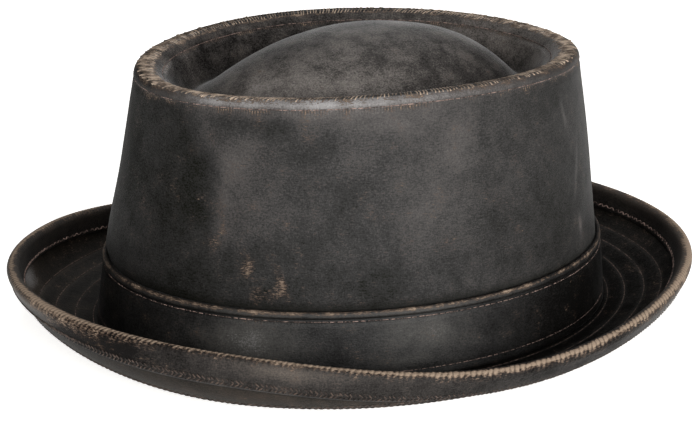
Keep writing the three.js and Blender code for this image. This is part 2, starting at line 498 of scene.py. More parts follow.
@dataclass(frozen=True)
class StitchRow(Thread):
    """Stitches one after another along a closed line."""

    length: float = 2.0
    spread: float = 0.0
    sew: Sew = Sew.STRAIGHT

    def along(self, line: np.ndarray, normal: np.ndarray, seed: int) -> np.ndarray:
        """Tubes of the stitches along one line.

        Args:
            line: Points of a closed line.
            normal: The surface's normals along it.
            seed: Start of the row's own random numbers.

        Returns:
            Stitches by steps by sides by (x, y, z).
        """
        chance = np.random.default_rng(seed)
        closed = np.vstack([line, line[:1]])
        reach = np.concatenate([[0], np.cumsum(np.linalg.norm(np.diff(closed, axis=0), axis=1))])
        count = max(int(round(reach[-1] / self.pitch)), 3)
        share = np.linspace(-0.5, 0.5, self.steps)
        jitter = chance.normal(0, self.uneven * 0.3, (count, 1))
        start = ((np.arange(count) + 0.5)[:, None] + jitter) * reach[-1] / count
        long = self.length * (1 + chance.normal(0, self.uneven, (count, 1)))
        at = (start + long * share) % reach[-1]
        turned = np.vstack([normal, normal[:1]])
        spot = np.stack([np.interp(at, reach, closed[:, k]) for k in range(3)], axis=-1)
        up = np.stack([np.interp(at, reach, turned[:, k]) for k in range(3)], axis=-1)
        up /= np.linalg.norm(up, axis=-1, keepdims=True)
        side = np.cross(up, np.gradient(spot, axis=1))
        side /= np.linalg.norm(side, axis=-1, keepdims=True)
        way = np.ones((count, 1))
        if self.sew is Sew.CROSSED:
            way = np.where(np.arange(count) % 2, 1.0, -1.0)[:, None]
        if self.sew is not Sew.STRAIGHT:
            spot = spot + side * (way * share * self.spread)[..., None]
        high = self.lift * (1 - 5.6 * share**2) * (1 + chance.normal(0, self.uneven, (count, 1)))
        spot = spot + up * high[..., None]
        spot = spot + side * chance.normal(0, self.uneven * 0.25, (count, 1))[..., None]
        return self.tubes(spot, up)

    def make(self, name: str, lines: list[tuple[np.ndarray, np.ndarray]]) -> bpy.types.Object:
        """Makes one piece of thread from the stitches along several lines.

        Args:
            name: The piece's name.
            lines: The points and normals of each closed line.

        Returns:
            The object, linked to the scene.
        """
        tubes = [self.along(line, normal, seed) for seed, (line, normal) in enumerate(lines)]
        return self.sewn(name, np.concatenate(tubes))


@dataclass(frozen=True)
class WhipRow(Thread):
    """Stitches side by side that bind two edges together, over the seam from one face to the other."""

    reach: float = 2.0
    lean: float = 0.6

    def make(self, name: str, near: Face, far: Face, seed: int) -> bpy.types.Object:
        """Makes the piece of thread.

        Args:
            name: The piece's name.
            near: The face on one side, from the seam.
            far: The face on the other side, from the seam.
            seed: Start of the row's own random numbers.

        Returns:
            The object, linked to the scene.
        """
        chance = np.random.default_rng(seed)
        ways = np.linspace(-1, 1, self.steps)
        lines = [(near if way < 0 else far).line(0.1 + self.reach * abs(way)) for way in ways]
        points, normals = (np.stack(part, axis=1) for part in zip(*lines))
        columns = len(points)
        rim = points[:, self.steps // 2]
        count = int(round(np.linalg.norm(rim - np.roll(rim, 1, axis=0), axis=1).sum() / self.pitch))
        start = (np.arange(count) + 0.5 + chance.normal(0, self.uneven, count)) * columns / count
        slip = self.lean * ways * columns / count * (1 + chance.normal(0, self.uneven, (count, 1)))
        spread = 1 + chance.normal(0, self.uneven, (count, 1, 1))
        at = (start[:, None] + slip) % columns
        low = at.astype(int)
        share = (at - low)[..., None]
        step = np.arange(self.steps)
        spot = points[low % columns, step] * (1 - share) + points[(low + 1) % columns, step] * share
        up = normals[low % columns, step] * (1 - share) + normals[(low + 1) % columns, step] * share
        middle = spot[:, self.steps // 2][:, None]
        spot = middle + (spot - middle) * np.clip(spread, 0.5, 1.25)
        up /= np.linalg.norm(up, axis=-1, keepdims=True)
        return self.sewn(name, self.tubes(spot + up * self.lift, up))


# Finishes


def linear(colour: str) -> tuple[float, float, float, float]:
    """Turns an sRGB hex colour to the linear one that shaders take."""
    parts = [int(colour[k : k + 2], 16) / 255 for k in (1, 3, 5)]
    flat = [c / 12.92 if c <= 0.04045 else ((c + 0.055) / 1.055) ** 2.4 for c in parts]
    return (*flat, 1.0)


def per_mm(size: float) -> float:
    """The scale of a pattern on coordinates in metres whose features are size millimetres wide."""
    return 1 / (size * MM)


def empty_tree(owner: bpy.types.Material | bpy.types.World) -> bpy.types.NodeTree:
    """Turns on the nodes of a material or a world, and empties its tree."""
    owner.use_nodes = True
    owner.node_tree.nodes.clear()
    return owner.node_tree


def add(tree: bpy.types.NodeTree, kind: str, inputs: dict[Any, Any], out: Any = 0, **settings: Any) -> Any:
    """Adds a shader node with its settings and links.

    Args:
        tree: The node tree.
        kind: The node's type name, after the word ShaderNode.
        inputs: For each socket, the value that it holds or the socket that feeds it.
        out: The wanted output, by its name or number.
        settings: The node's own properties.

    Returns:
        That output, or None from a node without outputs.
    """
    node = tree.nodes.new("ShaderNode" + kind)
    for key, value in settings.items():
        setattr(node, key, value)
    for key, value in inputs.items():
        if isinstance(value, bpy.types.NodeSocket):
            tree.links.new(value, node.inputs[key])
        else:
            node.inputs[key].default_value = value
    return node.outputs[out] if len(node.outputs) else None


@dataclass(frozen=True)
class WornLeather:
    """Waxed cowhide, dyed almost black, tumbled and then rubbed through along its edges.

    The dye lies in soft clouds and blotches, the nap breaks it into specks and short hairs,
    and the bare tan hide comes through wherever the piece says that it is worn. Painted light
    and shade from the piece lighten and darken it too.
    """

    name: str
    deep: str = "#0d0d08"
    hide: str = "#201f1e"
    rubbed: str = "#504c4a"
    painted_highlight: str = "#a09e9d"
    russet: str = "#372a22"
    bare: str = "#978472"
    roughness: float = 0.55
    shine: float = 0.3
    cloud: float = 30.0
    blotch: float = 7.0
    speck: float = 0.6
    nap: float = 0.42
    nap_length: float = 1.5
    girth: float = 0.0
    cloud_swing: float = 0.8
    blotch_swing: float = 0.6
    speck_swing: float = 1.0
    nap_swing: float = 0.9
    crease: float = 0.25
    fuzz: float = 0.02
    gathers: int = 500
    gather_slant: float = 0.0
    gather_shade: float = 0.85
    wear_by_blotch: float = 1.7
    wear_by_nap: float = 2.1
    wear_by_gathers: float = 0.3
    bare_roughness: float = 0.85
    ior: float = 1.48

    def make(self) -> bpy.types.Material:
        """Builds the material."""
        material = bpy.data.materials.new(self.name)
        tree = empty_tree(material)
        place = add(tree, "TexCoord", {}, "Object")
        uv = add(tree, "UVMap", {}, uv_map="hide")
        worn, grime, pucker, tone = (
            add(tree, "Attribute", {}, "Fac", attribute_name=key) for key in MARKINGS
        )

        # Clouds and blotches of dye, and the specks and short hairs of the nap, which lie round the hat
        # where the piece gives its girth.
        long = self.nap_length / self.nap
        stretch = (self.girth * MM, long, 1.0) if self.girth else (1.0, 1.0, long)
        laid = add(tree, "Mapping", {"Vector": uv if self.girth else place, "Scale": stretch})
        patterns = []
        for at, size, detail, rough, bend in (
            (place, self.cloud, 4.0, 0.6, 0.5),
            (place, self.blotch, 4.0, 0.65, 0.0),
            (place, self.speck, 2.0, 0.7, 0.0),
            (laid, self.nap_length, 3.0, 0.7, 0.8),
        ):
            sizes = {"Scale": per_mm(size), "Detail": detail, "Roughness": rough, "Distortion": bend}
            patterns.append(add(tree, "TexNoise", {"Vector": at, **sizes}))
        _, blotch, speck, nap = patterns
        swings = (self.cloud_swing, self.blotch_swing, self.speck_swing, self.nap_swing)
        mixed = tone
        for pattern, swing in zip(patterns, swings):
            mixed = add(tree, "Math", {0: pattern, 1: swing, 2: mixed}, operation="MULTIPLY_ADD")

        # Gathers of the sewn edge: small uneven folds across it, counted round the hat.
        across = add(tree, "SeparateXYZ", {"Vector": uv}, "X")
        along = across.node.outputs["Y"]
        shaken = add(tree, "Math", {0: blotch, 1: 7.0}, operation="MULTIPLY")
        count = 2 * math.pi * self.gathers
        turned = add(tree, "Math", {0: across, 1: count, 2: shaken}, operation="MULTIPLY_ADD")
        slant = self.gather_slant * per_mm(1.0)
        slanted = add(tree, "Math", {0: along, 1: slant, 2: turned}, operation="MULTIPLY_ADD")
        wave = add(tree, "Math", {0: slanted}, operation="SINE")
        patchy = add(tree, "MapRange", {"Value": blotch, "From Min": 0.36, "From Max": 0.6, "To Min": 0.25})
        pulled = add(tree, "Math", {0: pucker, 1: patchy}, operation="MULTIPLY")
        gathers = add(tree, "Math", {0: wave, 1: pulled}, operation="MULTIPLY")

        # Bare hide: the wear asked for, broken up by the blotches, the nap and the gathers.
        wear = worn
        parts = (self.wear_by_blotch, self.wear_by_nap, self.wear_by_gathers)
        for pattern, part in zip((blotch, nap, gathers), parts):
            wear = add(tree, "Math", {0: pattern, 1: part, 2: wear}, operation="MULTIPLY_ADD")

        # The dye from its deepest to its palest, where the palest is a painted highlight, and then the
        # rubbed hide: each colour comes over the ones before it as its value goes from low to high. The
        # dye's value carries painted light and shade too.
        middle = sum(swings) / 2
        colour: Any = linear(self.deep)
        shares = []
        for value, shade, low, high in (
            (mixed, self.hide, middle, middle + 0.5),
            (mixed, self.rubbed, middle + 0.5, middle + 1.2),
            (mixed, self.painted_highlight, middle + 1.1, middle + 2.3),
            (wear, self.russet, 2.2, 2.5),
            (wear, self.bare, 2.4, 3.0),
        ):
            shares.append(add(tree, "MapRange", {"Value": value, "From Min": low, "From Max": high}))
            colour = add(tree, "Mix", {0: shares[-1], 6: colour, 7: linear(shade)}, 2, data_type="RGBA")
        dyed, bared = shares[0], shares[-1]
        # Painted shade: the valleys of the gathers, and every place that the piece paints in shade, go
        # towards the deepest dye.
        valley_shade_range = {"From Min": -0.05, "From Max": -0.75, "To Max": self.gather_shade}
        valley_shade = add(tree, "MapRange", {"Value": gathers, **valley_shade_range})
        shade_share = add(tree, "Math", {0: valley_shade, 1: grime}, operation="MAXIMUM")
        colour = add(tree, "Mix", {0: shade_share, 6: colour, 7: linear(self.deep)}, 2, data_type="RGBA")

        # Specks, fine creases and gathers lift the surface by tenths of a millimetre at most.
        creased = add(tree, "Math", {0: nap, 1: 1.2, 2: speck}, operation="MULTIPLY_ADD")
        height = add(tree, "Math", {0: gathers, 1: 0.8, 2: creased}, operation="MULTIPLY_ADD")
        bump = add(tree, "Bump", {"Height": height, "Strength": 0.6, "Distance": self.crease * MM})

        # Bare hide is duller than waxed hide, and the deepest dye shines least.
        dulled = {"To Min": self.roughness, "To Max": self.bare_roughness}
        dull = add(tree, "MapRange", {"Value": bared, **dulled})
        uneven = add(tree, "Math", {0: speck, 1: 0.15, 2: dull}, operation="MULTIPLY_ADD")
        lustre = add(tree, "MapRange", {"Value": dyed, "To Min": 0.2 * self.shine, "To Max": self.shine})
        shader = add(
            tree,
            "BsdfPrincipled",
            {
                "Base Color": colour,
                "Roughness": uneven,
                "Normal": bump,
                "IOR": self.ior,
                "Specular IOR Level": lustre,
                "Sheen Weight": self.fuzz,
                "Sheen Roughness": 0.2,
            },
        )
        add(tree, "OutputMaterial", {"Surface": shader})
        return material


@dataclass(frozen=True)
class WaxedThread:
    """Waxed polyester sewing thread, twisted, with its dye rubbed lighter in stretches a stitch or two
    long.
    """

    name: str
    dye: str = "#302624"
    rubbed: str = "#917a70"
    patch: float = 2.6
    plies: float = 0.3
    roughness: float = 0.65

    def make(self) -> bpy.types.Material:
        """Builds the material."""
        material = bpy.data.materials.new(self.name)
        tree = empty_tree(material)
        place = add(tree, "TexCoord", {}, "Object")

        # Stretches of thread a stitch or two long where the dye is gone.
        scale = per_mm(self.patch)
        patch = add(tree, "TexNoise", {"Vector": place, "Scale": scale, "Detail": 3.0, "Roughness": 0.7})
        faded = add(tree, "MapRange", {"Value": patch, "From Min": 0.4, "From Max": 0.62})
        shades = {6: linear(self.dye), 7: linear(self.rubbed)}
        colour = add(tree, "Mix", {0: faded, **shades}, 2, data_type="RGBA")

        # The plies give the thread a fine ribbed surface.
        plies = add(tree, "TexNoise", {"Vector": place, "Scale": per_mm(self.plies), "Detail": 2.0})
        bump = add(tree, "Bump", {"Height": plies, "Strength": 0.5, "Distance": 0.1 * MM})
        shader = add(
            tree,
            "BsdfPrincipled",
            {"Base Color": colour, "Roughness": self.roughness, "Normal": bump, "Specular IOR Level": 0.2},
        )
        add(tree, "OutputMaterial", {"Surface": shader})
        return material


CROWN_HIDE = WornLeather("crown_waxed_cowhide", girth=540, gathers=480)
# The tip's leather is a paler copy of the crown's, painted lighter as the tip faces up: painted light.
TIP_HIDE_PAINTED_LIGHTER = WornLeather(
    "tip_waxed_cowhide_painted_lighter",
    deep="#12100f",
    hide="#36322f",
    rubbed="#76706b",
    blotch=9.0,
    blotch_swing=1.6,
    speck_swing=1.6,
    fuzz=0.35,
    gathers=480,
)
BAND_HIDE = WornLeather(
    "band_waxed_cowhide",
    deep="#0c0b0a",
    hide="#1c1b1a",
    rubbed="#484643",
    roughness=0.48,
    girth=600,
    speck_swing=0.9,
    crease=0.15,
)
BRIM_HIDE = WornLeather(
    "brim_waxed_cowhide",
    deep="#080706",
    hide="#15120e",
    rubbed="#352e28",
    shine=0.15,
    gathers=380,
)
BINDING_HIDE = WornLeather(
    "binding_turned_cowhide",
    deep="#0d0b0a",
    hide="#221e1b",
    rubbed="#524a43",
    gathers=394,
    gather_slant=1.2,
    gather_shade=0.6,
)
SEAM_THREAD = WaxedThread("seam_waxed_thread", dye="#2b2320", rubbed="#937d74")
BRIM_THREAD = WaxedThread("brim_waxed_thread", dye="#241d1a", rubbed="#6b5a52")
BRAID_THREAD = WaxedThread("braid_waxed_thread", dye="#191513", rubbed="#4d413a")
EDGE_THREAD = WaxedThread("edge_waxed_thread", dye="#574a40", rubbed="#b8a592", patch=5.0)


# Sub-assemblies


def dress(piece: bpy.types.Object, material: bpy.types.Material, slot: str, *nodes: str) -> None:
    """Gives a piece its material and its body, and hides the CAD nodes that it stands for."""
    piece.data.materials.clear()
    piece.data.materials.append(material)
    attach(piece, ROOT)
    if nodes:
        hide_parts(*nodes)
    log.info("%s: %d faces, %s", piece.name, len(piece.data.polygons), material.name)


WALL_DYE_AND_PAINTED_LIGHT = (
    # Painted light and shade over uneven dye: pale and dark places from the crease near the front round to
    # the left side.
    Mark(-98, 70, 9, 40, -0.18),
    Mark(-18, 96, 26, 6, 0.22),
    Mark(-7, 66, 10, 26, 0.2),
    Mark(-52, 83, 6, 7, 0.26),
    Mark(-56, 62, 2.2, 15, 0.22),
    Mark(-46, 92, 10, 3.5, -0.22),
    Mark(-45, 66, 8, 14, 0.08),
    Mark(-33, 86, 6, 5, -0.14),
    Mark(-28, 63, 5, 7, -0.12),
    Mark(-33, 61, 2.5, 3, 0.1),
    Mark(-22, 78, 4, 6, 0.06),
    Mark(-12, 62, 7, 16, 0.12),
    Mark(-2, 80, 8, 12, 0.12),
    Mark(-13, 92, 7, 4, 0.15),
    Mark(-5, 51, 3, 5, -0.12),
    Mark(2, 34, 6, 4, 0.12),
    Mark(-24, 38, 8, 6, -0.12),
    Mark(-88, 38, 26, 14, 0.12),
    Mark(-56, 72, 5, 14, 0.15),
    Mark(-80, 75, 4, 10, 0.08),
    Mark(-63, 52, 3, 6, 0.12),
    Mark(-64, 90, 4, 8, 0.14),
    Mark(27, 92, 9, 6, -0.2),
    Mark(22, 60, 12, 26, -0.07),
    Mark(44, 55, 9, 16, -0.18),
    Mark(30, 45, 6, 12, -0.1),
    # Upright creases on the light side, rubbed pale.
    Mark(35.8, 84.5, 0.7, 4.5, 0.5, -0.2),
    Mark(40.0, 61, 0.8, 9, 0.45, 0.2),
    Mark(40.0, 39.5, 0.9, 4, 0.7, -0.07),
)
WALL_SCUFFS = (
    # Streaks rubbed to bare hide, low at the front and along the creases.
    Mark(-48.6, 43, 1.8, 4.5, 0.4),
    Mark(-46, 35, 2.2, 3.5, 0.41),
    Mark(-40.7, 37.5, 1.3, 7, 0.57, -0.28),
    Mark(-44, 33, 3.5, 2.5, 0.4),
    Mark(-59, 50, 2.5, 4.0, 0.28),
    Mark(-56, 60, 1.4, 13, 0.27),
    Mark(-76, 71, 2.0, 3.0, 0.22),
    Mark(-88, 48, 2.5, 6.0, 0.18),
    Mark(40.0, 39.5, 0.8, 3.5, 0.35, -0.07),
)
TIP_PAINTED_LIGHT = (
    # Painted shade and light on the rim's inner face: dark at the front right and paler at the back.
    Mark(-150, 12, 50, 12, -0.22),
    Mark(110, 8, 50, 10, 0.25),
    Mark(60, 10, 30, 12, 0.35),
    # Painted light and shade on the dome: paler low at the front left and round its peak.
    Mark(-60, 62, 60, 26, 0.14),
    Mark(-60, 40, 50, 12, 0.3),
    Mark(30, 40, 40, 22, -0.1),
    Mark(-74, 38, 16, 6, 0.35),
    Mark(-86, 56, 20, 10, -0.35),
    Mark(-15, 42, 14, 8, 0.25),
    Mark(0, 110, 900, 24, 0.3),
)
TIP_SCUFFS = (
    # The crest's right side, rubbed bare beside its thread.
    Mark(-150, 2, 60, 3.2, 0.12),
    Mark(160, 0, 25, 2.5, 0.15),
)
BAND_PAINTED_SHEEN_AND_SHADE = (
    # Painted sheen at the front left, and painted shade to both sides of it.
    Mark(-49, 15, 10, 8, 0.7),
    Mark(-10, 17, 9, 8, 0.5),
    Mark(-14, 7, 6, 2, 0.3),
    Mark(-28, 10, 5, 9, -0.2),
    Mark(-95, 13, 22, 20, -0.3),
    Mark(35, 13, 22, 20, -0.4),
)
BRIM_PAINTED_SHADE_AND_HIGHLIGHT = (
    # Painted shade in the trough at the back left and beside the band, with one painted highlight near the
    # edge at the front right.
    Mark(60, 14, 30, 20, -0.45),
    Mark(40, 0, 60, 9, -0.5),
    Mark(-117, 32, 8, 7, 1.1),
)
UNDERBRIM_PAINTED_SHADE = (
    # Painted shade, darker under the front.
    Mark(-92, 20, 26, 40, -0.3),
)
EDGE_WEAR = (
    # Stretches where the turn is worn more than elsewhere.
    Mark(-2, 0, 34, 9, 0.55),
    Mark(-38, 0, 8, 9, 0.25),
    Mark(-90, 0, 22, 9, 0.3),
    Mark(60, 0, 34, 9, 0.5),
    Mark(-125, 0, 16, 9, 0.3),
)
EDGE_SWELLS = (
    # The strip's outside stands off the brim on the left side.
    Mark(20, 8, 30, 6, 0.7),
)
EDGE_RUBS = (
    # Places rubbed bare beside the turn.
    Mark(72, -1.6, 36, 2.8, 0.65),
    Mark(-84, 0, 10, 3, 0.3),
    Mark(-80, 3.5, 15, 4, 0.3),
    Mark(54, 4.5, 20, 4, 0.3),
    Mark(-150, -1.5, 34, 4, 0.34),
)
EDGE_PAINTED_LIGHT = (
    # Painted highlights and shade, placed from inside the roll, below 0, over its edge and down its
    # outside.
    Mark(-95, 3, 14, 6, 0.6),
    Mark(62, 0, 38, 6, 0.65),
    Mark(-72, 9, 14, 6, -0.45),
    Mark(-68, 4, 10, 5, -0.3),
    Mark(-32, 2, 16, 2.5, 0.2),
    Mark(-37, 4, 8, 2.5, 0.4),
    Mark(14, 5, 20, 5, -0.3),
    Mark(80, -4, 60, 3, 0.3),
    Mark(-155, -3, 36, 5, 0.4),
    Mark(54, 5, 22, 4, 0.4),
)


# Painted shade in the bed under the crest's thread: how dark, and from where to where it grows, in
# millimetres from the seam; then how much the thread's painted shadow darkens the dye, and from where to
# where.
THREAD_BED_SHADE = 0.85
THREAD_BED = (2.2, 1.5)
THREAD_SHADE = 0.5
THREAD_SHADOW = (2.2, 1.2)


def directions(columns: int) -> np.ndarray:
    """Directions round the hat, from the back seam and round to it."""
    return np.pi / 2 + 2 * np.pi * np.arange(columns) / columns


@dataclass
class CrownWall:
    """The upright leather wall of the crown, with its sewn shoulder."""

    form: HatForm
    columns: int = 720
    wall_rows: int = 56
    shoulder_rows: int = 14
    seam_groove: Line = Line(0, 0.8, -0.34)
    seam_lip: Line = Line(2.2, 1.3, 0.1)
    shoulder_pillow: Line = Line(0, 1.9, 0.32)
    flare: float = 1.5
    flare_rise: float = 38
    wave: float = 0.45
    wave_size: float = 48.0
    ripple: float = 0.12
    ripple_size: float = 13.0
    crest_rub: Line = Line(2.4, 0.9, 0.45)
    seam_rub: Line = Line(0, 0.9, 0.3)
    band_grime: Line = Line(0, 1.6, 0.8)
    crest_gathers: Line = Line(0, 1.9, 0.9)
    seam_gathers: Line = Line(0, 1.3, 0.6)

    def middle(self, angle: np.ndarray) -> np.ndarray:
        """The middle of the sheet, from the brim up and over the shoulder to the crest seam."""
        form = self.form
        crest = form.crest_at(angle)
        shoulder = crest - form.shoulder_drop
        share = np.linspace(0, 1, self.wall_rows)[:, None]
        height = form.brim_top + share * (shoulder - form.brim_top)
        wall = point(form.crown_wall / 2 - form.lean_at(angle, height), height)
        seam = point(form.crest_out(angle) + form.sewn_gap / 2, crest - form.crown_wall / 2)
        top = seam + [form.crest_level, 0]
        corner = point(wall[-1, :, 0], top[:, 1])
        t = np.linspace(0, 1, self.shoulder_rows)[1:, None, None]
        turn = (1 - t) ** 2 * wall[-1] + 2 * t * (1 - t) * corner + t**2 * top
        return np.concatenate([wall, turn, seam[None]])

    def build(self, material: bpy.types.Material) -> Face:
        """Makes the piece and dresses it.

        Args:
            material: The crown's leather.

        Returns:
            The outer face, from the crest seam down.
        """
        form = self.form
        angle = directions(self.columns)
        middle = self.middle(angle)
        outward = outward_of(middle)
        spots = form.place(angle, middle)
        height = middle[..., 1]
        band_top = form.brim_top + form.band_height

        # The wall waves a little between the band and the shoulder, and flares above the band, which
        # presses it in all round but at the back left.
        swell = self.wave * drift(spots, self.wave_size, 3.1) * ramp(height, 26, 44)
        swell += self.ripple * drift(spots, self.ripple_size, 8.7) * ramp(height, 26, 40)
        swell *= 1 - ramp(height, 84, 97)
        flare = ramp(height, band_top - 0.4, band_top + 2.6)
        flare = flare * ramp(height, band_top + self.flare_rise, band_top + 2)
        swell += self.flare * flare * (1 - 1.1 * form.flush_at(angle))
        middle = middle + outward * swell[..., None]
        reach = lengths_along(middle)
        left = reach[-1] - reach
        shoulder_length = left[self.wall_rows - 1]
        from_stitches = left - shoulder_length
        relief = self.seam_groove.over(from_stitches) + self.seam_lip.over(from_stitches)
        relief += self.shoulder_pillow.over(from_stitches + shoulder_length / 2)
        outer = middle + outward * (form.crown_wall / 2 + relief)[..., None]
        inner = (middle - outward * form.crown_wall / 2)[:: -4]
        outer_rows = form.place(angle, outer)
        inner_rows = form.place(angle, inner)
        worn = self.crest_rub.over(left) + self.seam_rub.over(from_stitches)
        worn = worn + marked(WALL_SCUFFS, angle, height)
        # Painted shade where the wall meets the band's top, and in the bed under the crest's thread.
        grime = self.band_grime.over(height - band_top) + THREAD_BED_SHADE * ramp(left, *THREAD_BED)
        pucker = self.crest_gathers.over(left) + self.seam_gathers.over(from_stitches)

        # Painted shade: round the front and the right side, past an upright crease that wavers and leans,
        # the leather is painted darker, and darker again low down. Degrees run from -270 to 90, and so they
        # break at the back.
        degrees = degrees_from(angle, -90) - 90
        crease = -57 - 8 * ramp(height, 72, 94) + 3.0 * drift(spots, 16.0, 4.2)
        shade_depth = 0.15 + 0.2 * ramp(height, 42, 60)
        tone = 0.52 - shade_depth * ramp(degrees, crease + 2.5, crease - 9) * ramp(degrees, -180, -150)
        tone -= 0.12 * ramp(height, 60, 36) * ramp(degrees, 0, -22) * ramp(degrees, -270, -200)
        tone = tone + marked(WALL_DYE_AND_PAINTED_LIGHT, angle, height)

        # Painted highlight on the shoulder: it is painted pale at the front left, less and less round the
        # left side, and a little paler all round above its stitches. The variable rubbed holds this painted
        # highlight.
        less = 0.68 * ramp(degrees, -40, 8) + 0.32 * ramp(degrees, 14, 28)
        rubbed = ramp(degrees, -98, -58) * (1 - less)
        rubbed = rubbed * (0.4 * ramp(from_stitches, 3.5, -0.5) + 0.72 * ramp(from_stitches, -0.4, -3.4))
        tone = tone + rubbed * (1 + 0.5 * drift(spots, 5.0, 2.6)) + 0.25 * ramp(from_stitches, 0, -2)
        tone -= THREAD_SHADE * ramp(left, *THREAD_SHADOW)
        skin = Skin.of_sheet(outer_rows, inner_rows, worn=worn, grime=grime, pucker=pucker, tone=tone)
        dress(skin.make("crown_wall"), material, "crown_leather", "crown_side")
        return Face(outer_rows[::-1])


@dataclass
class CrownTop:
    """The leather tip: the rim's inner face, the well and the oval dome."""

    form: HatForm
    columns: int = 720
    rim_rows: int = 30
    dome_rows: int = 34
    stitch_inset: float = 7.0
    row_groove: Line = Line(0, 0.8, -0.3)
    rim_pillow: Line = Line(0, 2.2, 0.22)
    dent: float = 0.35
    dent_size: float = 30.0
    crest_rub: Line = Line(2.6, 1.0, 0.45)
    row_rub: Line = Line(0, 0.9, 0.35)
    well_grime: Line = Line(9, 5.0, 0.3)
    crest_gathers: Line = Line(0, 1.8, 0.9)
    row_gathers: Line = Line(0, 1.4, 0.6)

    def middle(self, angle: np.ndarray) -> tuple[np.ndarray, np.ndarray, np.ndarray]:
        """The middle of the sheet from the crest seam in to the dome's peak.

        Args:
            angle: Directions round the hat.

        Returns:
            The rows as (distance from the dome's middle, height), the well's radius, and its points.
        """
        form = self.form
        crest = form.crest_at(angle) - form.crown_wall / 2
        bottom = form.crest_height - form.well_depth - form.crown_wall / 2
        well_out = form.crest_out(angle) - form.rim_width
        well = form.place(angle, point(well_out, bottom)[None])[0]
        well[:, 1] -= form.middle_shift
        radius = np.hypot(well[:, 0], well[:, 1])
        ways = np.linspace(0, 1, self.rim_rows)
        down = np.interp(ways, form.rim_inward, form.rim_down)
        for _ in range(6):
            down[1:-1] = (down[:-2] + 2 * down[1:-1] + down[2:]) / 4
        inward = ways[:, None] * (form.rim_width - form.sewn_gap / 2) + form.sewn_gap / 2
        rim = point(radius + form.rim_width - inward, crest + (bottom - crest) * down[:, None])
        share = np.linspace(1, 0.004, self.dome_rows)[1:, None]
        rise = form.dome_height * (1 - share**form.dome_fullness)
        dome = point(radius * share, bottom + rise)
        return np.concatenate([rim, dome]), radius, well

    def placed(
        self, rows: np.ndarray, radius: np.ndarray, well: np.ndarray, angle: np.ndarray
    ) -> np.ndarray:
        """Points of the hat from places on the tip.

        Args:
            rows: Rows by columns by (distance from the dome's middle, height).
            radius: The well's radius in each direction.
            well: The well's points.
            angle: Directions round the hat.

        Returns:
            Rows by columns by (x, y, z) in millimetres.
        """
        form = self.form
        well_out = form.crest_out(angle) - form.rim_width
        outside = form.place(angle, point(well_out + rows[..., 0] - radius, rows[..., 1]))
        share = np.maximum(rows[..., 0], 0.01) / radius
        setback = form.dome_setback * (1 - share**2)
        inside = np.stack(
            [well[:, 0] * share, well[:, 1] * share + setback + form.middle_shift, rows[..., 1]], axis=-1
        )
        return np.where((rows[..., 0] > radius)[..., None], outside, inside)

    def build(self, material: bpy.types.Material) -> Face:
        """Makes the piece and dresses it.

        Args:
            material: The crown's leather.

        Returns:
            The upper face, from the crest seam in.
        """
        form = self.form
        angle = directions(self.columns)
        middle, radius, well = self.middle(angle)
        for _ in range(8):
            near = dip(np.arange(len(middle)) - self.rim_rows + 1, 5.0)[1:-1, None, None]
            middle[1:-1] += near * ((middle[:-2] + middle[2:]) / 2 - middle[1:-1])
        outward = outward_of(middle)
        reach = lengths_along(middle)
        from_row = reach - self.stitch_inset
        relief = self.row_groove.over(from_row) + self.rim_pillow.over(reach - self.stitch_inset / 2)
        spots = self.placed(middle, radius, well, angle)
        relief += self.dent * drift(spots, self.dent_size, 5.5) * ramp(reach, 10, 22)
        upper = middle + outward * (form.crown_wall / 2 + relief)[..., None]
        lower = (middle - outward * form.crown_wall / 2)[:: -3]
        upper_rows = self.placed(upper, radius, well, angle)
        lower_rows = self.placed(lower, radius, well, angle)
        worn = self.crest_rub.over(reach) + self.row_rub.over(from_row) + marked(TIP_SCUFFS, angle, reach)
        # Painted shade down in the well, and in the bed under the crest's thread.
        grime = self.well_grime.over(reach - form.rim_width) + THREAD_BED_SHADE * ramp(reach, *THREAD_BED)
        pucker = self.crest_gathers.over(reach) + self.row_gathers.over(from_row)
        # Painted light and shade on the rim's inner face and the dome, and the thread's painted shadow.
        tone = 0.5 + marked(TIP_PAINTED_LIGHT, angle, reach) - THREAD_SHADE * ramp(reach, *THREAD_SHADOW)
        skin = Skin.of_sheet(upper_rows, lower_rows, True, worn=worn, grime=grime, pucker=pucker, tone=tone)
        dress(skin.make("crown_top"), material, "crown_leather", "crown_tip")
        return Face(upper_rows, outside=-1)


